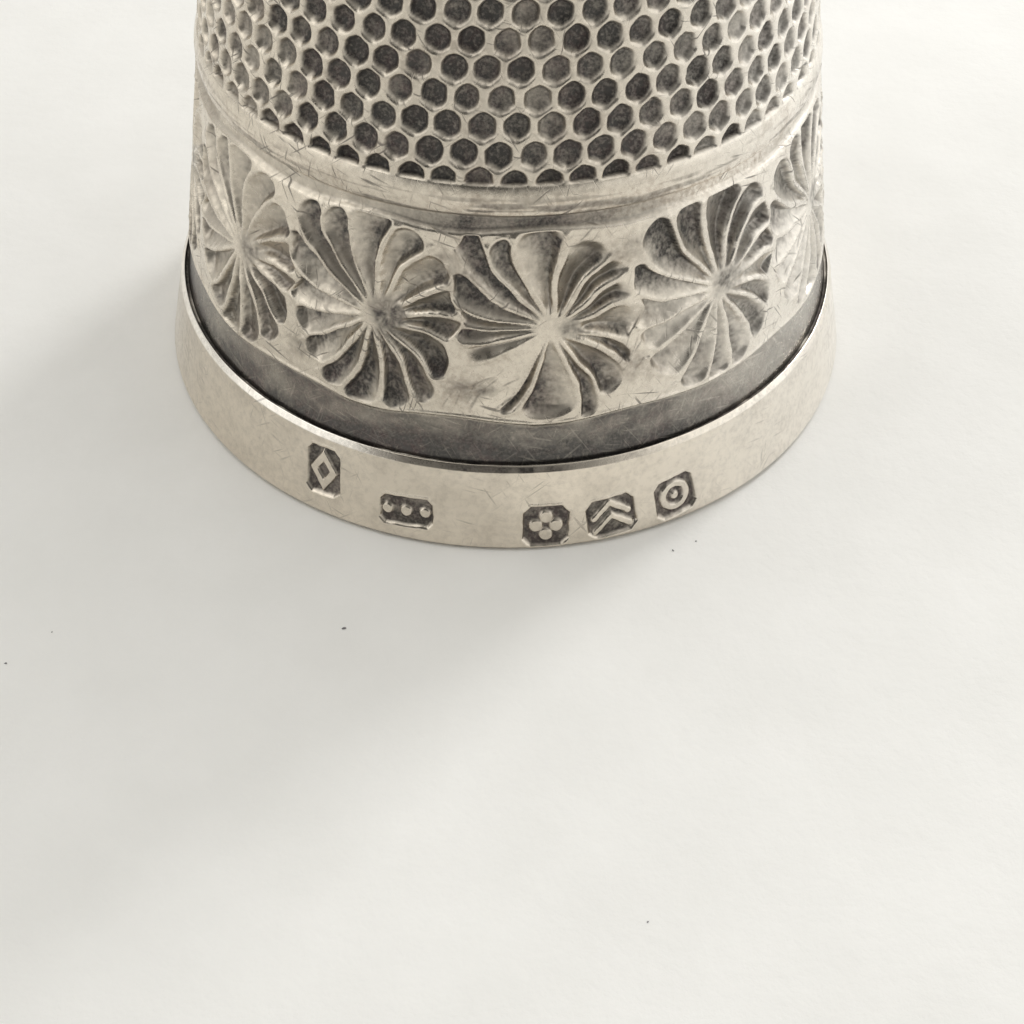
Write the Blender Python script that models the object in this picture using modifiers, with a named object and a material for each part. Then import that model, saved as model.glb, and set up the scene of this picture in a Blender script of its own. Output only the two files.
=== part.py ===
"""Silver thimble, modelled as the soldered pieces it is made of.

Frame: origin at the centre of the mouth, on the plane the rim stands on; +Z runs
up the finger axis to the crown. Dimensions are in millimetres and the meshes in
metres. Every piece is an outline of (radius, height) points turned about +Z.

Pieces: side_wall (the tapered shell), crown_cap (the domed top), rim_band (the
plain applied foot band), and the two solder seams at their joints.
The frieze and the dimpled zone are modelled as plain cones.
"""

import math

import bmesh
import bpy

MM = 0.001
TURN_STEPS = 72
MERGE_DISTANCE = 1e-6  # metres
JOINT_GAP = 0.02  # clearance between neighbouring pieces

# --- side wall, from the mouth upwards ---------------------------------------
MOUTH_RADIUS = 8.10  # inside radius at z = 0
BORE_TAPER = 0.145  # inside radius lost per millimetre of height
BORE_STATIONS = (6.0, 12.0)  # heights of the rings inside

WALL_FOOT_RADIUS = 8.36  # outside of the shell, inside the rim band
WALL_FOOT_LIFT = 0.05  # the shell stops just short of the table
WALL_EDGE_ROUND = 0.12  # setback of the rounding at the mouth's inner edge
WALL_TOP = 18.20

COVE_BOTTOM = 2.25  # hollow between the rim and the frieze
COVE_TOP = 3.40
COVE_TOP_RADIUS = 8.15
COVE_HOLLOW = 0.045
COVE_STEPS = 6

FRIEZE_BOTTOM = 3.50
FRIEZE_BOTTOM_RADIUS = 8.19
FRIEZE_TOP = 8.10
FRIEZE_STATIONS = (6.5, 5.0)
# A second point on the frieze cone, just above the frieze; it sets the slope.
CONE_POINT_RADIUS = 7.475
CONE_POINT_HEIGHT = 8.217
FRIEZE_TAPER = (FRIEZE_BOTTOM_RADIUS - CONE_POINT_RADIUS) / (CONE_POINT_HEIGHT - FRIEZE_BOTTOM)

RECESS_LOW = 8.24  # sunk line below the moulding
RECESS_HIGH = 8.44
RECESS_DEPTH = 0.13

MOULDING_LOW = 8.56
MOULDING_HIGH = 9.20
MOULDING_RISE = 0.06
MOULDING_FULLNESS = 0.7  # power of the sine profile; below 1 is fuller
MOULDING_STEPS = 6

DIMPLE_LOW_RADIUS = 7.335  # outside radius at the moulding's top
DIMPLE_TAPER = 0.140  # outside radius lost per millimetre of height
DIMPLE_STATIONS = (16.0, 14.0, 12.0, 10.5)

# --- crown cap ---------------------------------------------------------------
CROWN_RISE = 3.30  # height above the shell's top edge
CROWN_SQUARENESS = 2.50  # 2 is an ellipse, more is flatter on top
CROWN_THICKNESS = 0.55
CROWN_OUTER_STEPS = 16
CROWN_INNER_STEPS = 12
SKIRT_HEIGHT = WALL_TOP + JOINT_GAP  # flat edge that faces the shell's top
SPIGOT_LENGTH = 0.55  # ring that drops inside the shell
SPIGOT_THICKNESS = 0.22
SPIGOT_FOOT = WALL_TOP - SPIGOT_LENGTH

# --- rim band ----------------------------------------------------------------
RIM_BORE_RADIUS = WALL_FOOT_RADIUS + JOINT_GAP
RIM_FOOT_RADIUS = 9.03  # where the outside would meet the table if its edge were sharp
RIM_EDGE_ROUND = 0.16  # setback of the rounding at the foot
RIM_SHOULDER_RADIUS = 8.57  # where the face turns in to its bevel
RIM_SHOULDER_HEIGHT = 2.15
RIM_SHOULDER_ROUND = 0.05
RIM_TOP_RADIUS = 8.46  # inner edge of the bevel
RIM_HEIGHT = 2.29
RIM_LIP_DROP = 0.015  # height lost from the bevel's inner edge to the rebate
REBATE_FLOOR = 2.05  # step inside the band's top that holds the solder
REBATE_RADIUS = 8.455

# --- solder seams ------------------------------------------------------------
RIM_SEAM_INNER_HEIGHT = 0.10  # heights above the seam's underside
RIM_SEAM_MIDDLE_HEIGHT = 0.08
RIM_SEAM_OUTER_HEIGHT = 0.09
CROWN_SEAM_SIZE = 0.16
CROWN_SEAM_FACE = 0.45  # setback of the face's middle, in seam sizes; 0.5 is near flat


# --- scene, material and turning helpers -------------------------------------


def remove_everything():
    for obj in list(bpy.data.objects):
        bpy.data.objects.remove(obj, do_unlink=True)
    for mesh in list(bpy.data.meshes):
        if not mesh.users:
            bpy.data.meshes.remove(mesh)


def make_metal(name, colour, roughness):
    material = bpy.data.materials.new(name)
    material.use_nodes = True
    shader = material.node_tree.nodes["Principled BSDF"]
    shader.inputs["Base Color"].default_value = (*colour, 1.0)
    shader.inputs["Roughness"].default_value = roughness
    shader.inputs["Metallic"].default_value = 1.0
    return material


def turn_outline(name, outline, material, collection, closed=True):
    """Turn an outline about +Z. An open outline starts and ends on the axis."""
    mesh = bpy.data.meshes.new(name)
    shape = bmesh.new()
    points = [shape.verts.new((radius * MM, 0.0, z * MM)) for radius, z in outline]
    for start, end in zip(points, points[1:]):
        shape.edges.new((start, end))
    if closed:
        shape.edges.new((points[-1], points[0]))
    shape.to_mesh(mesh)
    shape.free()
    mesh.materials.append(material)

    obj = bpy.data.objects.new(name, mesh)
    collection.objects.link(obj)
    screw = obj.modifiers.new("turn", "SCREW")
    screw.axis = "Z"
    screw.angle = math.tau
    screw.screw_offset = 0.0
    screw.steps = TURN_STEPS
    screw.render_steps = TURN_STEPS
    screw.use_merge_vertices = True
    screw.merge_threshold = MERGE_DISTANCE
    screw.use_smooth_shade = True


def point_towards(start, target, distance):
    share = distance / math.dist(start, target)
    return tuple(a + (b - a) * share for a, b in zip(start, target))


def rounded(corner, before, after, setback, steps=3):
    """Replace a corner by a quadratic curve that starts and ends a setback from it."""
    start = point_towards(corner, before, setback)
    end = point_towards(corner, after, setback)
    points = []
    for i in range(steps + 1):
        t = i / steps
        weights = ((1 - t) ** 2, 2 * t * (1 - t), t * t)
        points.append(
            tuple(
                sum(weight * value for weight, value in zip(weights, values))
                for values in zip(start, corner, end)
            )
        )
    return points


# --- side wall ---------------------------------------------------------------


def bore_radius(z):
    return MOUTH_RADIUS - BORE_TAPER * z


def frieze_radius(z):
    return FRIEZE_BOTTOM_RADIUS - FRIEZE_TAPER * (z - FRIEZE_BOTTOM)


def dimple_radius(z):
    return DIMPLE_LOW_RADIUS - DIMPLE_TAPER * (z - MOULDING_HIGH)


def moulding_points():
    """A low bead on the dimpled cone, from just below its top edge down."""
    points = []
    for i in range(1, MOULDING_STEPS + 1):
        t = i / MOULDING_STEPS
        z = MOULDING_HIGH + (MOULDING_LOW - MOULDING_HIGH) * t
        rise = MOULDING_RISE * math.sin(math.pi * t) ** MOULDING_FULLNESS
        points.append((dimple_radius(z) + rise, z))
    return points


def cove_points():
    """The hollow, flaring out and down to the rim."""
    points = []
    for i in range(COVE_STEPS + 1):
        t = i / COVE_STEPS
        z = COVE_TOP + (COVE_BOTTOM - COVE_TOP) * t
        radius = COVE_TOP_RADIUS + (WALL_FOOT_RADIUS - COVE_TOP_RADIUS) * t
        points.append((radius - COVE_HOLLOW * math.sin(math.pi * t), z))
    return points


def wall_outline():
    """Down the outside from the top edge, round the foot and up the inside."""
    foot_outer = (WALL_FOOT_RADIUS, WALL_FOOT_LIFT)
    foot_inner = (bore_radius(WALL_FOOT_LIFT), WALL_FOOT_LIFT)
    top_inner = (bore_radius(WALL_TOP), WALL_TOP)
    dimple_heights = (WALL_TOP, *DIMPLE_STATIONS, MOULDING_HIGH)
    frieze_heights = (FRIEZE_TOP, *FRIEZE_STATIONS, FRIEZE_BOTTOM)
    return [
        *[(dimple_radius(z), z) for z in dimple_heights],
        *moulding_points(),
        *[(frieze_radius(z) - RECESS_DEPTH, z) for z in (RECESS_HIGH, RECESS_LOW)],
        *[(frieze_radius(z), z) for z in frieze_heights],
        *cove_points(),
        foot_outer,
        *rounded(foot_inner, foot_outer, top_inner, WALL_EDGE_ROUND),
        *[(bore_radius(z), z) for z in BORE_STATIONS],
        top_inner,
    ]


# --- crown cap ---------------------------------------------------------------


def crown_arc(base_radius, rise, steps):
    """Superellipse, drawn in by the wall's taper, from the axis down to the skirt."""
    points = []
    for i in range(steps + 1):
        angle = math.pi / 2 * (1 - i / steps)
        height = rise * math.sin(angle) ** (2 / CROWN_SQUARENESS)
        t = height / rise
        radius = base_radius * (1 - t**CROWN_SQUARENESS) ** (1 / CROWN_SQUARENESS)
        taper = DIMPLE_TAPER * height * (1 - t)
        points.append((radius - taper, SKIRT_HEIGHT + height))
    return points


def crown_outline():
    """Down the dome's outside, round the spigot and back up under the dome."""
    spigot_outer = bore_radius(WALL_TOP) - JOINT_GAP
    spigot_inner = spigot_outer - SPIGOT_THICKNESS
    outside = crown_arc(dimple_radius(SKIRT_HEIGHT), CROWN_RISE - JOINT_GAP, CROWN_OUTER_STEPS)
    inside = crown_arc(spigot_inner, CROWN_RISE - CROWN_THICKNESS, CROWN_INNER_STEPS)
    return [
        *outside,
        (spigot_outer, SKIRT_HEIGHT),
        (spigot_outer, SPIGOT_FOOT),
        (spigot_inner, SPIGOT_FOOT),
        *reversed(inside),
    ]


# --- rim band ----------------------------------------------------------------


def rim_outline():
    """Down the outside from the rebate's edge, across the foot and up the bore."""
    top = (RIM_TOP_RADIUS, RIM_HEIGHT)
    shoulder = (RIM_SHOULDER_RADIUS, RIM_SHOULDER_HEIGHT)
    foot_outer = (RIM_FOOT_RADIUS, 0.0)
    foot_inner = (RIM_BORE_RADIUS, 0.0)
    return [
        (REBATE_RADIUS, RIM_HEIGHT - RIM_LIP_DROP),
        top,
        *rounded(shoulder, top, foot_outer, RIM_SHOULDER_ROUND),
        *rounded(foot_outer, shoulder, foot_inner, RIM_EDGE_ROUND),
        foot_inner,
        (RIM_BORE_RADIUS, REBATE_FLOOR),
        (REBATE_RADIUS, REBATE_FLOOR),
    ]


# --- solder seams ------------------------------------------------------------


def rim_seam_outline():
    """Solder standing in the rebate between the band's top and the shell."""
    inner = RIM_BORE_RADIUS
    outer = REBATE_RADIUS - JOINT_GAP
    low = REBATE_FLOOR + JOINT_GAP
    return [
        (inner, low + RIM_SEAM_INNER_HEIGHT),
        ((inner + outer) / 2, low + RIM_SEAM_MIDDLE_HEIGHT),
        (outer, low + RIM_SEAM_OUTER_HEIGHT),
        (outer, low),
        (inner, low),
    ]


def crown_seam_outline():
    """Fillet of solder inside the shell, in the corner under the crown's spigot."""
    top = SPIGOT_FOOT - JOINT_GAP
    bottom = top - CROWN_SEAM_SIZE
    outer_high = bore_radius(SPIGOT_FOOT) - JOINT_GAP
    outer_low = bore_radius(bottom) - JOINT_GAP
    face_setback = CROWN_SEAM_FACE * CROWN_SEAM_SIZE
    return [
        (outer_high, top),
        (outer_low, bottom),
        (outer_low - face_setback, top - face_setback),
        (outer_high - CROWN_SEAM_SIZE, top),
    ]


def main():
    remove_everything()
    thimble = bpy.data.collections.new("thimble")
    bpy.context.scene.collection.children.link(thimble)

    wall_silver = make_metal("wall_silver", colour=(0.62, 0.60, 0.57), roughness=0.32)
    crown_silver = make_metal("crown_silver", colour=(0.60, 0.58, 0.55), roughness=0.32)
    rim_silver = make_metal("rim_silver", colour=(0.78, 0.76, 0.71), roughness=0.22)
    solder = make_metal("hard_solder", colour=(0.55, 0.53, 0.50), roughness=0.40)

    turn_outline("side_wall", wall_outline(), wall_silver, thimble)
    turn_outline("crown_cap", crown_outline(), crown_silver, thimble, closed=False)
    turn_outline("rim_band", rim_outline(), rim_silver, thimble)
    turn_outline("rim_solder_seam", rim_seam_outline(), solder, thimble)
    turn_outline("crown_solder_seam", crown_seam_outline(), solder, thimble)


main()
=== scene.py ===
"""Silver thimble: embossed side wall, dimpled crown, stamped rim, table, light and camera.

The thimble stands mouth down on the table with its axis on +Z. Its front faces -Y, and
azimuth 0 is the front and grows towards +X. The wall, crown, rim and rim solder are fine
closed meshes on the CAD's dimensions, and their relief is real geometry. Lengths are
millimetres unless a comment says otherwise. Patina runs from 0, bright, to 1, black.
"""

import math

import bpy
import numpy as np
from mathutils import Matrix, Vector


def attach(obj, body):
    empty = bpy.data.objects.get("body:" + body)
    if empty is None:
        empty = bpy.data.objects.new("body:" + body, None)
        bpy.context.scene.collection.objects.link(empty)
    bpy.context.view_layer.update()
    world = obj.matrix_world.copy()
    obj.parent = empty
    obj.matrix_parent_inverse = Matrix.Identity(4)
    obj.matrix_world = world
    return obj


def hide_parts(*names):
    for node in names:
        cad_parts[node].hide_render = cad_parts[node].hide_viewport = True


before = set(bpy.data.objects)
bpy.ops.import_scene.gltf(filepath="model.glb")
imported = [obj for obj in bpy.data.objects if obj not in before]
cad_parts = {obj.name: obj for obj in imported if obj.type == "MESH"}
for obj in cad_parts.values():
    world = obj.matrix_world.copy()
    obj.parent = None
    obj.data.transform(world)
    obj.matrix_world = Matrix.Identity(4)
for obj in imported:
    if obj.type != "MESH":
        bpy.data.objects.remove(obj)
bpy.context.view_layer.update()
MM = 0.001

# --- profile of the turned pieces, by height and radius ----------------------
MOUTH_R, WALL_TAPER = 8.10, 0.145
WALL_FOOT_R, WALL_FOOT_Z, WALL_TOP = 8.36, 0.05, 18.20
COVE_LOW, COVE_HIGH, COVE_HIGH_R = 2.25, 3.34, 8.150
FRIEZE_LOW, FRIEZE_LOW_R, FRIEZE_HIGH = 3.42, 8.20, 8.14
FRIEZE_END_R, FRIEZE_END_Z = 7.475, 8.217  # a point that sets the frieze's cone
RECESS_LOW, RECESS_HIGH, RECESS_DEPTH = 8.24, 8.46, 0.13
BEAD_LOW, BEAD_HIGH, BEAD_RISE = 8.58, 9.24, 0.055
DIMPLE_R, DIMPLE_R_Z, DIMPLE_TAPER = 7.335, 9.20, 0.140
CROWN_TOP, CROWN_POWER, CROWN_INNER_RISE = 21.5, 2.50, 2.75

# --- pinwheel flowers round the frieze ----------------------------------------
FLOWERS, FLOWER_PHASE, FLOWER_Z = 12, 6.8, 5.93
FRONT_FLOWERS, RIGHT_FLOWERS = (0, 5), (1, 6)
# Each cut has three rows, one entry a petal: the ridge where the petal starts, in
# degrees round the flower, the petal's reach, and how dark it has gone.
PLAIN_CUT = (
    (8, 28, 58, 81, 106, 126, 149, 175, 199, 223, 249, 267, 287, 307, 325, 349),
    (2.10, 2.20, 2.34, 2.34, 2.30, 2.50, 2.26, 2.06,
     2.02, 2.24, 2.44, 2.50, 2.50, 2.46, 2.36, 2.30),
    (0.84, 0.74, 0.76, 0.90, 0.98, 0.96, 0.96, 0.92,
     0.86, 0.88, 1.10, 1.16, 1.20, 1.16, 1.10, 0.92),
)
RIGHT_CUT = (
    (3, 25, 49, 73, 102, 123, 149, 173, 196, 222, 248, 270, 288, 307, 327, 343),
    PLAIN_CUT[1],
    (0.90, 0.95, 1.15, 1.20, 1.15, 1.10, 0.95, 0.66,
     0.42, 0.55, 0.90, 0.95, 1.02, 1.25, 1.15, 0.72),
)
# This cut has a rubbed gap at its lower left.
FRONT_CUT = (
    (14, 34, 53, 83, 114, 131, 149, 168, 181, 197, 216, 250, 260, 294, 307, 333, 345),
    (2.10, 2.34, 2.34, 2.46, 2.42, 3.00, 2.46, 2.20, 2.04,
     2.10, 2.2, 2.44, 2.39, 2.66, 2.46, 2.38, 2.28),
    (0.80, 0.80, 0.86, 0.90, 1.12, 1.12, 1.08, 0.98, 1.02,
     0.42, 0.0, 1.16, 0.92, 1.12, 0.94, 0.92, 0.80),
)

# --- punched pits: pits a ring, ring spacing in pitches, first ring's height, the
# turn each ring adds to the half-pitch stagger, depth, and reach in pitches
PITS, ROW_RATIO, FIRST_ROW, ROW_DRIFT = 63, 0.85, 9.29, 0.055
PIT_DEPTH, PIT_FILL = 0.195, 0.462


# --- curves and noise ----------------------------------------------------------
def smooth(t):
    t = np.clip(t, 0.0, 1.0)
    return t * t * (3 - 2 * t)


def rise(value, start, over):
    """0 up to `start`, then easing to 1 within `over`."""
    return smooth((value - start) / over)


def fall(value, end, over):
    """1 at first, easing to 0 at `end` within the last `over`."""
    return smooth((end - value) / over)


def band(value, start, rise_over, end, fall_over):
    return rise(value, start, rise_over) * fall(value, end, fall_over)


def hump(offset, width):
    """A bell: 1 where the offset is 0, 0.37 at `width`."""
    return np.exp(-((offset / width) ** 2))


def noise(u, v, period, seed):
    """Smooth value noise, -1 to 1, that repeats in u every `period` cells."""
    table = np.random.default_rng(seed).random((period, 97)) * 2 - 1
    iu, iv = np.floor(u).astype(int), np.floor(v).astype(int)
    fu, fv = smooth(u - iu), smooth(v - iv)
    a = table[iu % period, iv % 97]
    b = table[(iu + 1) % period, iv % 97]
    c = table[iu % period, (iv + 1) % 97]
    d = table[(iu + 1) % period, (iv + 1) % 97]
    return (a * (1 - fu) + b * fu) * (1 - fv) + (c * (1 - fu) + d * fu) * fv


def ring_noise(angle, z, size, radius, seed):
    """Noise on a turned surface, with cells about `size` wide."""
    period = max(4, int(round(math.tau * radius / size)))
    return noise(angle / math.tau * period, z / size + 40, period, seed)


def streak_noise(angle, z, cells, tall, seed):
    """Noise with `cells` cells round the piece, each `tall` high."""
    return noise(angle / math.tau * cells, z / tall, cells, seed)


def jitters(seed, kinds, count):
    """`kinds` rows of `count` random values, -1 to 1."""
    return np.random.default_rng(seed).random((kinds, count)) * 2 - 1


def azimuth_degrees(angle):
    return (np.degrees(angle) + 180) % 360 - 180


# --- the turned profile ---------------------------------------------------------
def inner_r(z):
    return MOUTH_R - WALL_TAPER * z


def frieze_r(z):
    slope = (FRIEZE_LOW_R - FRIEZE_END_R) / (FRIEZE_END_Z - FRIEZE_LOW)
    return FRIEZE_LOW_R - slope * (z - FRIEZE_LOW)


def dimple_r(z):
    return DIMPLE_R - DIMPLE_TAPER * (z - DIMPLE_R_Z)


def scalloped(angle, z):
    """Heights shifted so that the frieze's two edges bulge round each flower."""
    wave = np.cos(FLOWERS * (angle - math.radians(FLOWER_PHASE)))
    wave = wave + 0.45 * ring_noise(angle, z * 0 + 1.0, size=0.9, radius=8.0, seed=15)
    low = hump(z - 3.40, 0.42)
    high = hump(z - 8.20, 0.30) * (z < 8.45)
    return z + 0.060 * wave * low - 0.050 * wave * high


def outer_profile(z):
    """Radius of the shell's outside before any pattern, for heights z."""
    r = np.where(z > BEAD_HIGH, dimple_r(z), frieze_r(z))
    t = np.clip((z - COVE_LOW) / (COVE_HIGH - COVE_LOW), 0, 1)
    cove = WALL_FOOT_R + (COVE_HIGH_R - WALL_FOOT_R) * t - 0.05 * np.sin(math.pi * t)
    r = np.where(z < COVE_HIGH, cove, r)
    r = np.where(z < COVE_LOW, WALL_FOOT_R, r)
    # The frieze's lower edge is a fine raised line.
    edge = (z >= COVE_HIGH) & (z < FRIEZE_LOW + 0.16)
    step = rise(z, COVE_HIGH, FRIEZE_LOW - COVE_HIGH)
    line = 0.022 * hump(z - FRIEZE_LOW - 0.035, 0.045)
    r = np.where(edge, COVE_HIGH_R * (1 - step) + frieze_r(z) * step + line * step, r)
    # Recess and bead between frieze and dimples.
    low = rise(z, FRIEZE_HIGH, RECESS_LOW - FRIEZE_HIGH)
    high = fall(z, BEAD_LOW, BEAD_LOW - RECESS_HIGH)
    recess = RECESS_DEPTH * np.minimum(low, high)
    t = np.clip((z - BEAD_LOW) / (BEAD_HIGH - BEAD_LOW), 0, 1)
    bead = BEAD_RISE * np.sin(math.pi * t) ** 0.75
    to_dimples = rise(z, 8.45, 0.3)
    base = dimple_r(z) * to_dimples + frieze_r(z) * (1 - to_dimples)
    between = (z > 8.30) & (z <= BEAD_HIGH)
    return np.where(between, base - recess + bead, r - recess)


# --- pits -------------------------------------------------------------------------
def pit_rings():
    """Height, pitch and shift, in pitches, of each ring of pits up the wall."""
    rings, z, shift = [], FIRST_ROW, 0.0
    while z < WALL_TOP - 0.15:
        pitch = math.tau * dimple_r(z) / PITS
        rings.append((z, pitch, shift))
        z += pitch * ROW_RATIO
        shift += 0.5 + ROW_DRIFT
    return rings


def pit_shape(dx, dy, reach, depth, lean, ragged=0.0):
    """Depth and cover of one punched pit, a rounded hexagon with a bowl bottom."""
    hexagon = np.maximum(np.abs(dx), np.abs(dx) * 0.5 + np.abs(dy) * 0.866)
    d = 0.34 * hexagon + 0.66 * np.hypot(dx, dy) + ragged
    wall = fall(d, reach, 0.120)
    bowl = 0.42 + 0.58 * (1 - np.clip(d / reach, 0, 1) ** 2)
    tilt = 1 + lean * dx / reach
    return depth * wall * bowl * tilt, wall


def wall_pits(angle, z):
    """Pit depth, cover, and oxide with painted shade on the shell, for grids of angle and
    height.
    """
    depth, fill, pit_oxide_and_shade = np.zeros_like(z), np.zeros_like(z), np.zeros_like(z)
    ragged = 0.014 * ring_noise(angle, z, size=0.20, radius=7.2, seed=51)
    ragged = ragged + 0.009 * ring_noise(angle, z, size=0.09, radius=7.2, seed=52)
    for ring, (ring_z, pitch, shift) in enumerate(pit_rings()):
        near = np.abs(z[:, 0] - ring_z) < pitch * 0.62
        if not near.any():
            continue
        near_angle = angle[near]
        cell = near_angle / math.tau * PITS - shift - 0.24
        index = np.round(cell).astype(int)
        # Small errors of place, size, depth and lean, one of each a pit.
        off_x, off_y, size, deeper, lean = jitters(500 + ring, 5, PITS)[:, index % PITS]
        dx = (cell - index) * pitch - 0.026 * off_x
        dy = (z[near] - ring_z) * 0.93 - 0.024 * off_y - 0.10 * dx
        reach = pitch * (PIT_FILL + 0.018 * size)
        one, wall = pit_shape(
            dx, dy, reach, PIT_DEPTH * (1 + 0.20 * deeper), 0.22 * lean, ragged[near]
        )
        # Oxide and painted shade sit at the top of each pit, where its upper wall lies in
        # shade; the lower-left lip is left pale as painted light.
        low_left = (-0.45 * dx - 0.89 * dy) / reach
        shade = 1.12 - 0.95 * rise(low_left, 0.58, 0.26)
        shade = shade * (0.92 + 0.15 * deeper)
        # The pits in a patch just right of the front never took the oxide fully.
        patch = hump(azimuth_degrees(near_angle) - 4, 6.5)
        shade = shade * (1 - 0.34 * patch * (0.6 + 0.4 * size))
        pit_oxide_and_shade[near] = np.where(wall > fill[near], shade, pit_oxide_and_shade[near])
        depth[near] = np.maximum(depth[near], one)
        fill[near] = np.maximum(fill[near], wall)
    return depth, fill, pit_oxide_and_shade


# --- flowers ------------------------------------------------------------------------
def flower_cut(flower):
    """Ridge angles, reaches and darknesses of one flower's petals."""
    front = flower in FRONT_FLOWERS
    cut = FRONT_CUT if front else RIGHT_CUT if flower in RIGHT_FLOWERS else PLAIN_CUT
    ridges, reach, dark = (np.array(row, float) for row in cut)
    if flower > 1:
        rng = np.random.default_rng(900 + flower)
        ridges = ridges + 1.8 * (rng.random(len(ridges)) * 2 - 1)
        reach = reach * (1 + 0.025 * (rng.random(len(reach)) * 2 - 1))
    return ridges, reach * (1.0 if front else 1.05), dark


def find_petals(which, turned, twist):
    """Share of the way across its petal, petal width in degrees, reach and darkness."""
    across, width, reach, dull = (np.zeros_like(turned) for _ in range(4))
    for flower in range(FLOWERS):
        at = which == flower
        if not at.any():
            continue
        ridges, reaches, darks = flower_cut(flower)
        extra = 0 if flower in (0, 1, 11) else 2.5 * twist[flower]
        turn = (turned[at] + extra) % 360
        k = np.searchsorted(ridges, turn) - 1
        spans = np.append(ridges[1:], ridges[0] + 360) - ridges
        start = np.where(k < 0, ridges[-1] - 360, ridges[k])
        across[at] = (turn - start) / spans[k]
        width[at], reach[at], dull[at] = spans[k], reaches[k], darks[k]
    return across, width, reach, dull


def flower_field(angle, z):
    """Depth of the pinwheel flowers and how dark each gouge has gone."""

    def rough(size, seed):
        return ring_noise(angle, z, size, 7.8, seed)

    step = math.tau / FLOWERS
    phase = math.radians(FLOWER_PHASE)
    # The border between neighbours wanders where their petals meet.
    wander = 0.035 * np.sin(z * 2.7 + 1.0) + 0.02 * np.sin(z * 6.1)
    along_ring = (angle - phase) / step + wander
    index = np.round(along_ring).astype(int)
    which = index % FLOWERS
    front = np.isin(which, FRONT_FLOWERS)
    off_x, off_z, twist, _ = jitters(77, 4, FLOWERS)
    x = (angle - phase - index * step) * frieze_r(z) - 0.03 * off_x[which]
    y = z - FLOWER_Z - 0.03 * off_z[which] + 0.06 * (which == 0)
    # The cuts were aimed at a point right of the middle and a little low, so they whirl.
    aim = hump(np.hypot(x, y), 1.15)
    aim_x = x - np.where(front, 0.10, 0.20) * aim
    aim_y = y + np.where(front, 0.02, 0.16) * aim
    phi = np.degrees(np.arctan2(aim_y, aim_x))
    rho = np.hypot(aim_x, aim_y)
    # Petals start turned a little, straighten, and hook round at their ends.
    hook = 5.0 * hump(rho, 0.75) + 7.0 * np.clip((rho - 1.40) / 1.0, 0, 1.4) ** 1.3
    wobble = 3.0 * rough(0.62, 61)
    turned = phi + hook + wobble * rise(rho, 0.4, 0.6)
    across, width, reach, dull = find_petals(which, turned, twist)

    def arc(share):
        """Length across this share of the petal, at this distance from the centre."""
        return share * width * 0.0175 * np.clip(rho, 0.3, 3)

    # A rounded ridge is left standing between petals, about a tenth of a millimetre.
    ridge = (0.043 + 0.014 * rough(0.5, 65) + 0.012 * rough(0.14, 66)) / arc(1)
    ridge = np.clip(ridge, 0.02, 0.28)
    across = np.clip((across - ridge) / (1 - 2 * ridge), 0, 1)
    # Steep on the clockwise side, a dished floor, easy on the other.
    bottom = 0.17 + 0.05 * rough(0.9, 62)
    # Shallow petals leave a broader ridge beside the cut.
    shallow = np.clip((0.96 - dull) / 0.25, 0, 1) * front
    crest = 1.0 - 0.16 * shallow
    easy_side = np.clip((across - bottom) / (crest - bottom), 0, 1)
    gouge = np.where(
        across < bottom,
        np.clip(across / bottom, 0, 1) ** 0.8,
        1 - easy_side ** (1.9 - 0.6 * shallow),
    )
    end = reach * (1 - 0.085 * np.abs(2 * across - 1.05) ** 2.6) - 0.015
    tip = fall(rho, end, 0.17 + 0.45 * shallow)
    grow = rise(rho, 0.20, 0.45) * (0.50 + 0.50 * rise(rho, 0.5, 1.0))
    strength = np.clip(dull * 1.6, 0, 1)
    sink = 0.205 * np.clip(width / 21, 0.75, 1.18) * strength
    # A worn, stained eye right of the centre, where the cuts stop short.
    size = np.where(front, 0.30, 0.44) * (1 + 0.30 * rough(0.30, 67))
    eye_x, eye_y = x - 0.55, y + 0.06
    eye = np.exp(-(((eye_x / size) ** 2 + (eye_y / (0.92 * size)) ** 2) ** 1.6))
    grow = grow * (1 - 0.85 * np.clip(eye * 1.3, 0, 1))
    # Gouges stop at the frieze's edges and at the border with the next flower.
    flat = scalloped(angle, z)
    limit = smooth((flat - FRIEZE_LOW - 0.045) / 0.07) * fall(flat, FRIEZE_HIGH - 0.005, 0.07)
    border = (0.5 - np.abs(along_ring - index)) * step * 7.8
    cut_limit = limit * rise(border, 0.01, 0.08)
    cut = sink * gouge * grow * tip * cut_limit
    # The thin walls left between gouges were pushed up a little by the graver.
    to_wall = np.minimum(across, 1 - across) * width * 0.02 * np.clip(rho, 0.4, 3)
    burr = hump(to_wall, 0.085) * grow * cut_limit * strength
    burr = burr * fall(rho, reach + 0.05, 0.12 + 0.3 * shallow)
    lip = hump(rho - end - 0.02, 0.05) * grow * cut_limit * strength
    relief = cut + 0.030 * eye - 0.027 * burr - 0.016 * lip * (1 - shallow)

    # Oxide covers the end wall too, with a crisp edge.
    shade = smooth(arc(across) / 0.05) * fall(rho, end + 0.015, 0.07 + 0.55 * shallow)
    shade = shade * cut_limit * rise(rho, 0.24, 0.38)
    shade = shade * (1 - 0.8 * eye)
    wide_dark = np.where(front, 0.62, 0.86) + 1.6 * np.clip((dull - 0.8) / 0.5, 0, 1)
    # The petals at the left hold a grey bloom over their whole floor.
    wide_dark = wide_dark + 0.9 * band(phi % 360, 95, 30, 240, 20)
    side = np.where(across < bottom, 1.0, 1 - 0.92 * easy_side**wide_dark)
    # Oxide is thicker far out; the crease under each ridge is darkest, a painted shade.
    far_oxide_and_crease_shade = 0.66 + 0.46 * rise(rho, 0.8, 1.2) + 0.18 * hump(arc(across) - 0.05, 0.06)
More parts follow.
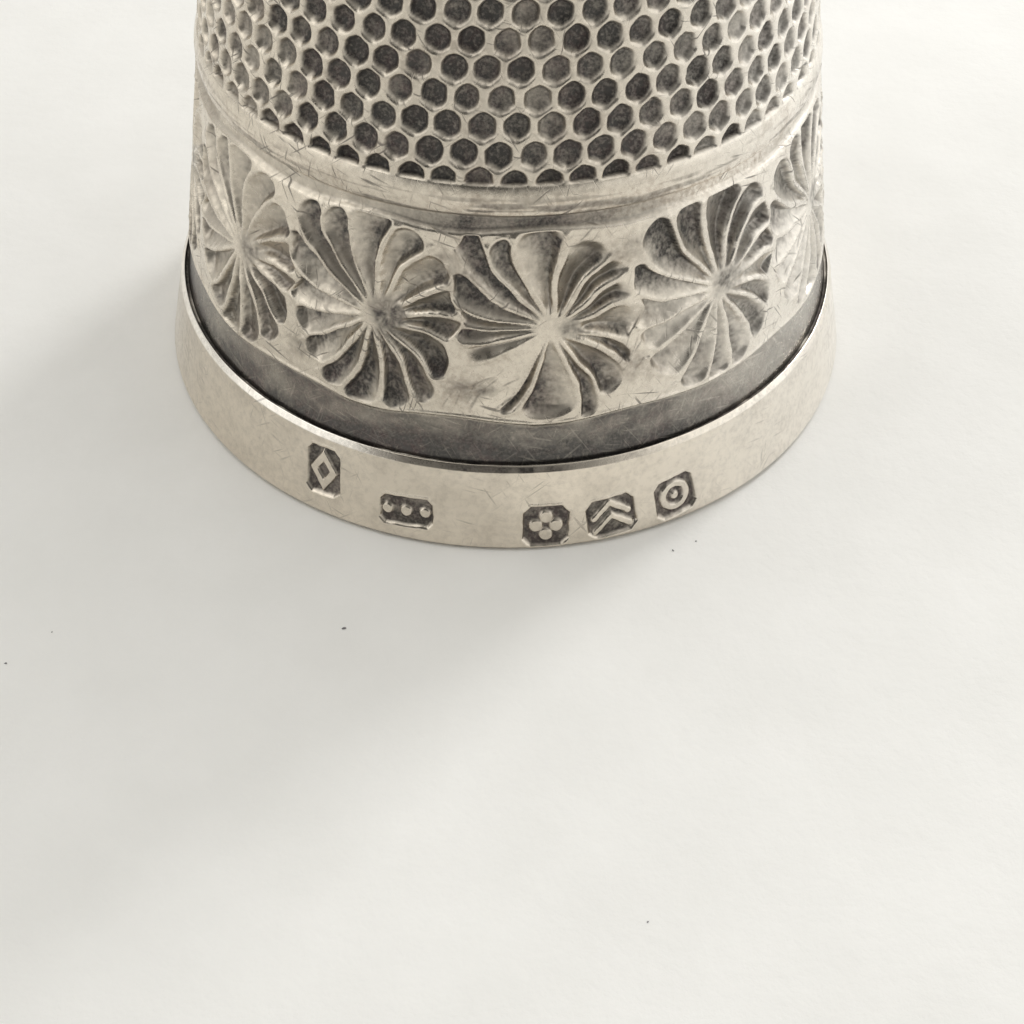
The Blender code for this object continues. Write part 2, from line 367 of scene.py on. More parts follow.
    # Strokes radiate from the eye and smear its stain.
    strokes = 0.5 + 0.5 * np.sin(17 * np.arctan2(eye_y, eye_x) + 2.5 * rough(0.3, 64))
    smear = 0.82 + 0.22 * strokes * smooth(np.hypot(eye_x, eye_y) / 0.2)
    smear = smear + 0.42 * rough(0.10, 63)
    weak = np.where(which == 0, 0.66, 1.05)
    eye_dark = 0.92 * weak * eye * np.clip(smear, 0, 1.05)
    dark = np.maximum(shade * side * dull * far_oxide_and_crease_shade, eye_dark)
    return relief, np.clip(dark, 0, 1)


# Patches of strokes on the frieze: azimuth in degrees, height, half width, half
# height, lean in degrees, number of strokes.
SCUFFS = (
    (-6.2, 4.22, 0.42, 0.22, 66, 16),
    (-3.0, 4.35, 0.80, 0.34, 38, 10),
    (19.0, 4.75, 0.60, 0.55, 58, 12),
    (13.0, 7.70, 0.55, 0.35, 42, 6),
    (-20.5, 7.60, 0.45, 0.35, 58, 6),
    (-36.0, 4.30, 0.45, 0.40, 52, 6),
)


def scuffed(turn, z):
    """Short rubbed strokes on the lands of the frieze, 0 to 1."""
    rng = np.random.default_rng(4410)
    marks = np.zeros_like(z)
    for azimuth, height, wide, tall, lean, count in SCUFFS:
        for _ in range(count):
            off_x, off_y, bend, weight, longer = rng.random(5) * 2 - 1
            dx = (turn - azimuth) * math.radians(8.0) - off_x * wide
            dy = z - height - off_y * tall
            slant = math.radians(lean + 9 * bend)
            along = dx * math.cos(slant) + dy * math.sin(slant)
            off = -dx * math.sin(slant) + dy * math.cos(slant) - 0.25 * bend * along**2
            mark = hump(off, 0.016 + 0.005 * weight)
            mark = mark * fall(np.abs(along), 0.36 + 0.14 * longer, 0.28)
            marks = np.maximum(marks, mark * (0.60 + 0.30 * weight))
    return marks


# --- mesh building --------------------------------------------------------------------
def mesh_object(name, points, quads, attributes=None, tris=None):
    """A smooth-shaded object from points in millimetres."""
    mesh = bpy.data.meshes.new(name)
    points = np.ascontiguousarray(points * MM, np.float32)
    quads = np.asarray(quads, np.int32).reshape(-1, 4)
    tris = np.zeros((0, 3), np.int32) if tris is None else np.asarray(tris, np.int32)
    loops = np.concatenate([quads.ravel(), tris.ravel()])
    sizes = np.concatenate([np.full(len(quads), 4), np.full(len(tris), 3)])
    starts = np.concatenate([[0], np.cumsum(sizes)[:-1]])
    mesh.vertices.add(len(points))
    mesh.vertices.foreach_set("co", points.ravel())
    mesh.loops.add(len(loops))
    mesh.loops.foreach_set("vertex_index", loops.astype(np.int32))
    mesh.polygons.add(len(sizes))
    mesh.polygons.foreach_set("loop_start", starts.astype(np.int32))
    mesh.update(calc_edges=True)
    mesh.polygons.foreach_set("use_smooth", np.ones(len(sizes), bool))
    for key, values in (attributes or {}).items():
        is_vector = values.ndim == 2
        kind = "FLOAT_VECTOR" if is_vector else "FLOAT"
        attribute = mesh.attributes.new(key, kind, "POINT")
        attribute.data.foreach_set(
            "vector" if is_vector else "value",
            np.ascontiguousarray(values, np.float32).ravel(),
        )
    mesh.validate()
    obj = bpy.data.objects.new(name, mesh)
    bpy.context.scene.collection.objects.link(obj)
    return obj


def ring_quads(rows, columns):
    """Quads of a closed ring whose cross-section has `rows` points."""
    i = np.arange(rows)[:, None]
    j = np.arange(columns)[None, :]
    i2, j2 = (i + 1) % rows, (j + 1) % columns
    a, b = i * columns + j, i * columns + j2
    c, d = i2 * columns + j2, i2 * columns + j
    return np.stack([a, b, c, d], -1).reshape(-1, 4)


def place(angle, r, z):
    return np.stack([r * np.sin(angle), -r * np.cos(angle), z], -1)


def surface_coordinates(angle, z, radius):
    """The surface unrolled flat, for textures that follow it."""
    a = (angle + math.pi) % math.tau - math.pi
    return np.stack([a * radius, z, np.zeros_like(z)], -1).reshape(-1, 3)


def ring_object(name, angle, r, z, radius, attributes):
    """A closed ring from grids of angle, radius and height."""
    values = {key: grid.ravel() for key, grid in attributes.items()}
    values["surf"] = surface_coordinates(angle, z, radius)
    return mesh_object(name, place(angle, r, z).reshape(-1, 3), ring_quads(*r.shape), values)


def across_columns(values, count):
    """One value a row, repeated over `count` columns."""
    return np.repeat(np.asarray(values)[:, None], count, 1)


def down_rows(values, count):
    """One value a column, repeated over `count` rows."""
    return np.repeat(values[None, :], count, 0)


def spread(*runs):
    """Heights in runs of (start, stop, step), each stop left to the next run."""
    return np.concatenate([np.arange(a, b - s * 0.4, s) for a, b, s in runs])


def angles(front, fine, coarse):
    """Columns round the piece, in degree steps, fine within +-front of azimuth 0."""
    a = np.linspace(-front, front, int(2 * front / fine) + 1)
    rest = 360 - 2 * front
    b = np.linspace(front, front + rest, int(rest / coarse) + 1)[1:-1]
    return np.radians(np.concatenate([a, b]))


def painted_sheen_side(angle):
    """1 on the side given the palest painted sheen, right of the front, fading to 0."""
    return band(azimuth_degrees(angle), 8, 55, 125, 40)


# --- side wall ------------------------------------------------------------------------
# Runs of rows up the outside: start, stop, step.
WALL_RUNS = (
    (WALL_FOOT_Z, 2.20, 0.43),
    (2.20, 3.28, 0.09),
    (3.28, 3.62, 0.022),
    (3.62, 8.10, 0.0315),
    (8.10, 9.30, 0.030),
    (9.30, 12.6, 0.033),
    (12.6, 18.12, 0.042),
    (18.12, 18.201, 0.027),
)
# Rows down the inside: height, and how far the radius falls short of the bore's.
WALL_INSIDE = np.array(
    [(18.2, 0.03), (18.16, 0), (16, 0), (12, 0), (8, 0), (4, 0), (1.0, 0),
     (0.20, 0), (0.11, -0.02), (0.06, -0.07), (0.05, -0.12)]
)
# Brown spots on the frieze: azimuth in degrees, height, width, height, darkness.
SPOTS = (
    (-35.9, 4.15, 0.32, 0.36, 0.42),
    (-6.4, 4.20, 0.34, 0.24, 0.80),
    (-3.6, 4.25, 0.30, 0.17, 0.80),
    (24.0, 5.75, 0.34, 0.26, 0.42),
    (20.0, 7.55, 0.5, 0.3, 0.42),
    (-8.0, 7.2, 0.5, 0.5, 0.42),
    (21.5, 4.6, 0.4, 0.4, 0.42),
)


def cove_patina(angle, z, flat, turn, broad):
    """Dark cove, darker towards the rim as painted shade in the undercut, with a lighter
    streak above its middle.
    """
    t = np.clip((flat - COVE_LOW) / (COVE_HIGH - COVE_LOW), 0, 1)
    streak = hump(t - 0.62 - 0.25 * (broad - 0.5), 0.26)
    smudge = streak_noise(angle, z, cells=60, tall=0.34, seed=26) * 0.6
    smudge = smudge + streak_noise(angle, z, cells=140, tall=0.16, seed=27) * 0.4
    small = ring_noise(angle, z, size=0.11, radius=7.5, seed=29)
    large = ring_noise(angle, z, size=0.5, radius=7.5, seed=30)
    spots = rise(small + 0.7 * large, 0.42, 0.25)
    dark = 0.86 + 0.24 * (1 - t) ** 1.5 - 0.14 * streak * (0.3 + 1.0 * broad)
    dark = dark + 0.22 * smudge - 0.07 * spots
    # Painted light: both sides are lighter than the front, the right more.
    dark = dark * (1 - 0.38 * band(turn, 24, 22, 120, 40))
    dark = dark * (1 - 0.12 * band(turn, -130, 40, -24, 20))
    return np.where(t > 0.95, dark * (1 - (t - 0.95) / 0.05 * 0.5), dark)


def wall_finish(angle, z, flat, turn, pits, pit_oxide_and_shade, dark, in_frieze, scuff):
    """Patina, painted shade and painted light, and brown stain over the wall's outside."""

    def cloud(size, seed):
        return 0.5 + 0.5 * ring_noise(angle, z, size, 7.5, seed)

    above = z > BEAD_HIGH
    mottled, broad, fine = cloud(0.42, 21), cloud(2.6, 22), cloud(0.16, 23)
    grit = ring_noise(angle, z, size=0.075, radius=7.5, seed=28)
    # Painted light: both sides are lighter than the front.
    painted_side_light = 1 - 0.30 * band(turn, 14, 42, 110, 40)
    painted_side_light = painted_side_light - 0.30 * band(turn, -120, 30, -24, 30)
    deep = np.clip(pits / PIT_DEPTH, 0, 1.15)
    pit_dark = smooth(deep * 1.6) * pit_oxide_and_shade * (0.74 + 0.24 * mottled + 0.12 * fine) * painted_side_light
    uneven = 0.665 + 0.28 * mottled + 0.16 * fine + 0.22 * grit
    patina = np.where(above, pit_dark, 0.0)
    patina = np.where(in_frieze, np.clip(dark, 0, 1) * uneven * painted_side_light, patina)
    patina = np.where(flat < COVE_HIGH, cove_patina(angle, z, flat, turn, broad), patina)
    # Painted shade: the wall hidden behind the rim, in the gap, is black.
    patina = np.where(z < COVE_LOW + 0.03, 1.0, patina)
    # Oxide and painted shade on the recess line and the bead's underside, darkest at the
    # front, where they face the viewer.
    line = smooth((flat - FRIEZE_HIGH + 0.01) / 0.10) * fall(z, 8.62, 0.22)
    front_recess_shade = np.clip(0.26 + 0.85 * hump(turn + 3, 19) + 0.60 * (broad - 0.5), 0.08, 1.0)
    patina = np.maximum(patina, line * front_recess_shade * (0.56 + 0.34 * mottled))
    # Rubbing left long streaks round the bead.
    long_streaks = streak_noise(angle, z, cells=36, tall=0.055, seed=24)
    short_streaks = streak_noise(angle, z, cells=80, tall=0.085, seed=25)
    low_bead = band(z, 8.48, 0.1, 9.26, 0.62)
    streaked = 0.62 * long_streaks + 0.38 * short_streaks + 0.25 * (broad - 0.5)
    streaked = rise(streaked, 0.02, 0.36)
    streak_dark = 0.30 + 0.26 * fine + 0.22 * hump(turn + 2, 24)
    patina = np.maximum(patina, low_bead * streaked * streak_dark)
    # Brown stain: round the bead's foot, in pits near the front, along the recess at
    # the right, and in a few spots on the frieze.
    at_bead = 0.25 + 1.5 * (broad - 0.45) + 0.5 * streaked + 0.5 * hump(turn - 8, 16)
    brown = low_bead * np.clip(at_bead, 0, 1)
    brown = brown + above * 0.5 * hump(turn - 3, 9) * smooth(deep * 1.5)
    brown = brown + band(z, 8.2, 0.1, 8.8, 0.2) * band(turn, 8, 12, 60, 20)
    for azimuth, height, wide, tall, darkness in SPOTS:
        dx = (turn - azimuth) * math.radians(7.8)
        spot = np.exp(-((dx / wide) ** 2 + ((z - height) / tall) ** 2)) * (0.4 + 0.8 * fine)
        brown = brown + 0.9 * spot
        patina = np.maximum(patina, darkness * spot * (0.5 + 0.8 * mottled))
    # Scuffs hold a little dirt.
    patina = np.maximum(patina, 0.72 * scuff)
    brown = np.clip(brown + 0.5 * scuff, 0, 1)
    # Lands near the pits are never quite clean.
    patina = patina + 0.05 * fine + 0.03 * mottled
    # Painted shade: above the bead the wall is darker at the front, standing in for the dark
    # reflection it faces.
    patina = patina + 0.13 * hump(turn + 1, 26) * above
    return np.clip(patina, 0, 1), brown


def build_wall():
    alpha = angles(front=84, fine=0.235, coarse=0.40)
    columns = len(alpha)
    heights = spread(*WALL_RUNS)
    angle, z = np.meshgrid(alpha, heights)
    turn = azimuth_degrees(angle)
    flat = scalloped(angle, z)
    base = outer_profile(flat) + (frieze_r(z) - frieze_r(flat)) * (z > 3.2) * (z < 8.45)
    pits, fill, pit_oxide_and_shade = wall_pits(angle, z)
    # The bead covers the lower half of the lowest ring, and the top edge is plain.
    clear = rise(z, 9.245, 0.035) * fall(z, WALL_TOP - 0.015, 0.03)
    pits, fill = pits * clear, fill * clear
    petals, dark = flower_field(angle, z)
    in_frieze = (flat > FRIEZE_LOW - 0.02) & (flat < RECESS_LOW)
    petals, dark = petals * in_frieze, dark * in_frieze

    wave = ring_noise(angle, z, size=1.9, radius=7.8, seed=11) * 0.010
    wave += ring_noise(angle, z, size=0.55, radius=7.8, seed=12) * 0.005
    grain = ring_noise(angle, z, size=0.13, radius=7.8, seed=13)
    r = base - pits - petals + wave * rise(z, COVE_LOW, 0.1)
    r += 0.0022 * grain * (z > COVE_LOW)
    # Lands between pits are slightly crowned by the punch.
    r += 0.008 * fill * (1 - fill) * 4 * (z > 9.26)
    # Top edge eased.
    ease = np.clip((z - (WALL_TOP - 0.07)) / 0.07, 0, 1)
    r = r - 0.05 * ease**2
    # Scuffs cut a hair into the lands.
    scuff = scuffed(turn, z) * in_frieze * (1 - 0.7 * np.clip(dark * 1.5, 0, 1))
    r = r - 0.006 * scuff
    patina, brown = wall_finish(angle, z, flat, turn, pits, pit_oxide_and_shade, dark, in_frieze, scuff)
    polish = fall(flat, COVE_HIGH + 0.02, 0.05)

    # Inside: plain, wiped, closed back to the foot.
    inside, inset = WALL_INSIDE.T
    inside_grid = np.meshgrid(alpha, inside)
    inner = across_columns(inner_r(inside) - inset, columns)
    inner += 0.004 * ring_noise(*inside_grid, size=2.2, radius=7.5, seed=31)
    wiped = 0.34 + 0.25 * ring_noise(*inside_grid, size=1.4, radius=7.5, seed=32)
    r_all = np.vstack([r, (r[-1] - 0.03)[None, :], inner])
    z_all = across_columns(np.concatenate([heights, [WALL_TOP], inside]), columns)
    a_all = down_rows(alpha, len(z_all))
    bare = np.zeros((1 + len(inside), columns))
    finish = {
        "patina": np.vstack([patina, np.full((1, columns), 0.6), wiped]),
        "stain": np.vstack([brown, bare]),
        "polish": np.vstack([polish, bare]),
        # The right side gets a painted sheen: paler metal standing in for light.
        "sheen_paint": painted_sheen_side(a_all),
    }
    return ring_object("embossed_side_wall", a_all, r_all, z_all, 7.7, finish)


# --- crown ----------------------------------------------------------------------------
CROWN_PITCH = 0.735
CROWN_CELLS = 300  # faces along each side of the folded grid


def crown_profile(base, dome_rise, bottom, count):
    """Radius and height from the pole down to the skirt."""
    s = np.linspace(0, 1, count)
    a = math.pi / 2 * (1 - s)
    h = dome_rise * np.sin(a) ** (2 / CROWN_POWER)
    t = np.clip(h / dome_rise, 0, 1)
    r = base * (1 - t**CROWN_POWER) ** (1 / CROWN_POWER) - DIMPLE_TAPER * h * (1 - t)
    r[0] = 0.0
    return r, bottom + h


def folded_grid(cells):
    """A square grid folded onto the unit disc, with even faces over the pole."""
    side = np.linspace(-1, 1, cells + 1)
    gx, gy = np.meshgrid(side, side)
    wide = np.abs(gx) >= np.abs(gy)
    radius = np.where(wide, gx, gy)
    angle = np.where(
        wide,
        math.pi / 4 * gy / np.where(gx == 0, 1, gx),
        math.pi / 2 - math.pi / 4 * gx / np.where(gy == 0, 1, gy),
    )
    angle = np.where(radius == 0, 0.0, angle)
    return radius * np.cos(angle), radius * np.sin(angle)


def crown_pits(angle, s, r, arc, profile_r):
    """Pit depth and cover in rings from the pole outwards, s along the profile."""
    room = arc[-1] - 0.37
    gaps = round(room / (CROWN_PITCH * 0.87))
    spacing = room / gaps
    depth, fill = np.zeros_like(s), np.zeros_like(s)
    for ring in range(int(round(room / spacing)) + 1):
        ring_s = ring * spacing
        ring_r = float(np.interp(ring_s, arc, profile_r))
        count = 1 if ring == 0 else max(6, int(round(math.tau * ring_r / CROWN_PITCH)))
        near = np.abs(s - ring_s) < 0.5
        if ring == 0:
            dx, dy = r[near] * np.sin(angle[near]), r[near] * np.cos(angle[near])
            pit = np.zeros(near.sum(), int)
            pitch = CROWN_PITCH
        else:
            pitch = math.tau * ring_r / count
            cell = angle[near] / math.tau * count - 0.5 * (ring % 2) - 0.13 * ring
            index = np.round(cell).astype(int)
            pit = index % count
            dx = (cell - index) * math.tau / count * np.maximum(r[near], 1e-3)
            dy = s[near] - ring_s
        off_x, off_y, size, deeper, lean = jitters(3000 + ring, 5, count)[:, pit]
        one, wall = pit_shape(
            dx - 0.015 * off_x,
            dy - 0.015 * off_y,
            reach=min(pitch, spacing / 0.86) * (0.468 + 0.016 * size),
            depth=PIT_DEPTH * (0.92 + 0.15 * deeper),
            lean=0.15 * lean,
        )
        depth[near] = np.maximum(depth[near], one)
        fill[near] = np.maximum(fill[near], wall)
    edge = fall(s, arc[-1] - 0.02, 0.04)
    return depth * edge, fill * edge


def build_crown():
    skirt = WALL_TOP + 0.012
    base = dimple_r(skirt)
    profile_r, profile_z = crown_profile(base, CROWN_TOP - skirt, skirt, 4000)
    steps = np.hypot(np.diff(profile_r), np.diff(profile_z))
    arc = np.concatenate([[0], np.cumsum(steps)])
    px, py = folded_grid(CROWN_CELLS)
    angle = np.arctan2(px, -py)
    s = np.hypot(px, py) * arc[-1]
    r = np.interp(s, arc, profile_r)
    z = np.interp(s, arc, profile_z)
    dr = np.interp(s, arc, np.gradient(profile_r, arc))
    dz = np.interp(s, arc, np.gradient(profile_z, arc))
    depth, fill = crown_pits(angle, s, r, arc, profile_r)
    lift = 0.008 * fill * (1 - fill) * 4 - depth
    lift += 0.006 * noise(px * 9 + 40, py * 9 + 40, period=96, seed=61)
    norm = np.hypot(dr, dz)
    norm = np.where(norm == 0, 1, norm)
    top = place(angle, r + lift * (-dz / norm), z + lift * (dr / norm)).reshape(-1, 3)
    mottled = 0.5 + 0.5 * noise(px * 17 + 40, py * 17 + 40, period=96, seed=62)
    fine = 0.5 + 0.5 * noise(px * 44 + 60, py * 44 + 60, period=160, seed=63)
    patina = smooth(np.clip(depth / PIT_DEPTH, 0, 1.15) * 1.5) * (0.72 + 0.30 * mottled)
    patina = np.clip(patina + 0.06 * fine, 0, 1).ravel()
    index = np.arange((CROWN_CELLS + 1) ** 2).reshape(CROWN_CELLS + 1, -1)
    a, b, c, d = index[:-1, :-1], index[:-1, 1:], index[1:, 1:], index[1:, :-1]
    quads = np.stack([a, b, c, d], -1).reshape(-1, 4)
    # The rim of the disc, in order, then rings down the skirt, spigot and inside.
    loop = np.concatenate(
        [index[0, :-1], index[:-1, -1], index[-1, :0:-1], index[:0:-1, 0]]
    )
    loop_angle = angle.ravel()[loop]
    count = len(loop)
    spigot = inner_r(WALL_TOP) - 0.02
    inner_base = spigot - 0.22
    inner_rs, inner_zs = crown_profile(inner_base, CROWN_INNER_RISE, WALL_TOP + 0.02, 14)
    down = [
        (base - 0.02, skirt - 0.004),
        (base - 0.05, skirt - 0.002),
        (spigot + 0.02, skirt),
        (spigot, skirt - 0.02),
        (spigot, WALL_TOP - 0.52),
        (spigot - 0.03, WALL_TOP - 0.55),
        (inner_base + 0.03, WALL_TOP - 0.55),
        (inner_base, WALL_TOP - 0.52),
    ]
    down += list(zip(inner_rs, inner_zs))[:0:-1]
    rows = [place(loop_angle, np.full(count, x), np.full(count, y)) for x, y in down]
    pole = np.array([[0.0, 0.0, inner_zs[0]]])
    points = np.vstack([top, *rows, pole])
    column = np.arange(count)
    following = (column + 1) % count
    extra, above = [quads], loop
    for row in range(len(down)):
        here = len(top) + row * count + column
        extra.append(np.stack([above, here, here[following], above[following]], -1))
        above = here
    tris = np.stack([above, np.full(count, len(points) - 1), above[following]], -1)
    wiped = np.full(len(points) - len(top), 0.38)
    finish = {"patina": np.concatenate([patina, wiped]), "surf": points}
    return mesh_object("dimpled_crown", points, np.vstack(extra), finish, tris)


# --- rim band -------------------------------------------------------------------------
RIM_INNER_R = WALL_FOOT_R + 0.02
RIM_FOOT_R, RIM_SHOULDER_R, RIM_SHOULDER_Z, RIM_HEIGHT = 9.03, 8.57, 2.15, 2.29
# A flat bevel, then a narrow land along the top: radius, height. Both catch the light.
BEVEL_PEAK = 2.279
BEVEL = np.array(
    [(8.5735, 2.132), (8.571, 2.143), (8.5665, 2.153), (8.560, 2.163), (8.545, 2.184),
     (8.530, 2.205), (8.514, 2.227), (8.499, 2.248), (8.488, 2.2635), (8.482, 2.2705),
     (8.476, 2.276), (8.470, 2.2785), (8.466, BEVEL_PEAK), (8.4625, 2.277), (8.461, 2.273)]
)
# Rows down the inside and across the foot: radius, height, patina. That patina is painted
# shade: black in the gap behind the bevel, dark inside the mouth, fading across the foot.
RIM_INSIDE = np.array(
    [
        (8.456, RIM_HEIGHT - 0.016, 1), (8.455, 2.06, 1), (8.445, 2.05, 1),
        (RIM_INNER_R + 0.01, 2.05, 1), (RIM_INNER_R, 2.04, 0.9), (RIM_INNER_R, 1.0, 0.8),
        (RIM_INNER_R, 0.03, 0.8), (RIM_INNER_R + 0.03, 0.0, 0.5), (8.62, 0.0, 0.15),
    ]
)
# azimuth, height, half width, half height, corner, tilt (degrees), figure
STAMPS = (
    (-29.3, 1.24, 0.49, 0.66, 0.17, 3.0, "lozenge"),
    (-14.9, 0.82, 0.68, 0.40, 0.15, 3.0, "dots"),
    (6.8, 0.66, 0.57, 0.56, 0.20, -2.0, "petals"),
    (17.1, 0.70, 0.63, 0.53, 0.20, 6.0, "chevrons"),
    (28.0, 0.76, 0.56, 0.54, 0.17, 7.0, "ring"),
)


def cut_corner(x, y, half_width, half_height, corner):
    """Signed distance, positive inside, to a rectangle with cut corners."""
    d = np.minimum(half_width - np.abs(x), half_height - np.abs(y))
    slanted = half_width + half_height - corner - np.abs(x) - np.abs(y)
    return np.minimum(d, slanted * 0.7071)


def bar(x, y, x0, y0, x1, y1, half):
    """Signed distance, positive inside, to a round-ended bar."""
    vx, vy = x1 - x0, y1 - y0
    t = np.clip(((x - x0) * vx + (y - y0) * vy) / (vx * vx + vy * vy), 0, 1)
    return half - np.hypot(x - x0 - t * vx, y - y0 - t * vy)


def device(kind, x, y):
    """Plain geometric figures: positive inside the raised part."""
    if kind == "lozenge":
        reach = np.abs(x) * 1.42 + np.abs(y)
        return np.minimum(0.46 - reach, reach - 0.17)
    if kind == "dots":
        return np.max([0.125 - np.hypot(x - c, y) for c in (-0.37, 0.0, 0.37)], axis=0)
    if kind == "petals":
        leaves = [
            0.150 - np.hypot(x - 0.19 * math.cos(a), y - 0.19 * math.sin(a))
            for a in (0.0, math.pi / 2, math.pi, -math.pi / 2)
        ]
        return np.max(leaves, axis=0)
    if kind == "chevrons":
        arms = [
            bar(x, y, end, c - 0.15, 0, c + 0.13, half=0.078)
            for c in (-0.13, 0.16)
            for end in (-0.34, 0.34)
        ]
        return np.max(arms, axis=0)
    ring = 0.085 - np.abs(np.hypot(x, y) - 0.25)
    return np.maximum(ring, 0.10 - np.hypot(x, y))


def rim_profile():
    """Outside rows: rounded foot, face, then a bevel turned in at the top."""
    slope = (RIM_FOOT_R - RIM_SHOULDER_R) / RIM_SHOULDER_Z
    rows = []
    for a in np.radians(np.linspace(-90, -8, 8)):
        rows.append((8.845 + 0.15 * math.cos(a), 0.14 + 0.14 * math.sin(a)))
    for z in np.linspace(0.155, RIM_SHOULDER_Z - 0.035, 94):
        rows.append((RIM_FOOT_R - slope * z - 0.003, z))
    rows += [(r, z + (RIM_HEIGHT - BEVEL_PEAK) * rise(z, 2.13, 0.15)) for r, z in BEVEL]
    return np.array(rows)


def press_stamps(angle, z, r, patina):
    """Sink each stamp's ground and leave its figure standing."""

    def rough(size, seed):
        return ring_noise(angle, z, size, 8.8, seed)

    for azimuth, height, half_width, half_height, corner, tilt, kind in STAMPS:
        x0 = (angle - math.radians(azimuth)) * 8.85
        y0 = z - height
        c, s = math.cos(math.radians(tilt)), math.sin(math.radians(tilt))
        x, y = c * x0 + s * y0, -s * x0 + c * y0
        inside = cut_corner(x, y, half_width, half_height, corner)
        inside = inside + 0.012 * rough(0.16, 44)
        pressed = smooth(inside / 0.070)
        figure = device(kind, x / 1.27, y / 1.27) + 0.010 * rough(0.11, 45)
        raised = smooth(figure / 0.06 + 0.3) * pressed
        lip = 0.013 * hump(inside + 0.035, 0.035)
        r = r - 0.085 * pressed + 0.070 * raised + lip
        ground = pressed * (1 - raised * 0.93)
        patina = np.maximum(patina, ground * (0.96 + 0.2 * rough(0.2, 46)))
    return r, patina


def build_rim():
    # The stamped front is fine, the rest coarser.
    fine = np.linspace(-36, 35, 570)
    rest = np.linspace(35, 324, 620)[1:-1]
    alpha = np.radians(np.concatenate([fine, rest]))
    columns = len(alpha)
    rows = rim_profile()
    outer = len(rows)
    angle = down_rows(alpha, outer)
    r, z = across_columns(rows[:, 0], columns), across_columns(rows[:, 1], columns)
    patina = 0.05 + 0.05 * ring_noise(angle, z, size=0.5, radius=8.8, seed=42)
    patina = patina + 0.04 * ring_noise(angle, z, size=0.17, radius=8.8, seed=47)
    r = r + 0.009 * ring_noise(angle, z, size=2.4, radius=8.8, seed=41) * smooth(z / 0.3)
    r = r + 0.0040 * ring_noise(angle, z, size=0.6, radius=8.8, seed=43) * smooth(z / 0.3)
    # Painted shade on the shoulder at the front, under the bright land, standing for the dark
    # reflection where the bevel faces the viewer.
    turn = azimuth_degrees(angle)
    front_bevel_shade = hump(turn + 1, 13) + 0.35 * fall(np.abs(turn + 1), 40, 20)
    below_land = (np.arange(outer) < outer - 6)[:, None]
    front_bevel_shade = front_bevel_shade * band(z, 2.135, 0.02, 2.272, 0.012) * below_land
    uneven = 0.72 + 0.30 * ring_noise(angle, z, size=0.3, radius=8.8, seed=48)
    patina = np.maximum(patina, front_bevel_shade * uneven)
    r, patina = press_stamps(angle, z, r, patina)

    inside_r, inside_z, inside_patina = (across_columns(c, columns) for c in RIM_INSIDE.T)
    r_all = np.vstack([r, inside_r])
    z_all = np.vstack([z, inside_z])
    a_all = down_rows(alpha, len(r_all))
    # Painted highlight: the bevel is painted palest at the left.
    bevel_highlight = rise(z_all, 2.125, 0.02) * band(azimuth_degrees(a_all), -100, 20, -12, 16)
    bevel_highlight = bevel_highlight * (np.arange(len(r_all)) < outer)[:, None]
    finish = {
        "patina": np.clip(np.vstack([patina, inside_patina]), 0, 1),
        "sheen_paint": np.maximum(painted_sheen_side(a_all), bevel_highlight),
    }
    return ring_object("stamped_rim_band", a_all, r_all, z_all, 8.8, finish)


def build_seam():
    """Solder standing in the rebate behind the rim's bevel, uneven as it flowed."""
    alpha = np.radians(np.linspace(0, 360, 961)[:-1])
    inner, outer, low = WALL_FOOT_R + 0.015, 8.442, 2.066
    swell = 0.5 + 0.5 * streak_noise(alpha, alpha * 0 + 3.3, cells=46, tall=1, seed=71)
    fine = streak_noise(alpha, alpha * 0 + 5.7, cells=230, tall=1, seed=72)
    level = low + 0.135 + 0.060 * swell + 0.014 * fine
    rows = []
    for t in np.linspace(0, 1, 9):
        sag = 0.020 * (1 - (2 * t - 1) ** 2)
        rows.append((outer + (inner - outer) * t + 0 * level, level - sag))
    rows += [(edge + 0 * level, low + 0 * level) for edge in (inner, outer)]
    r, z = (np.array(grid) for grid in zip(*rows))
    # Painted shade: the solder is darkest where it lies low in the gap and lighter where it
    # swells up.
    dull = 0.90 - 0.55 * rise(swell + 0.25 * fine, 0.45, 0.35)
    finish = {"patina": down_rows(dull, len(r))}
    return ring_object("rim_seam_bead", down_rows(alpha, len(r)), r, z, 8.5, finish)


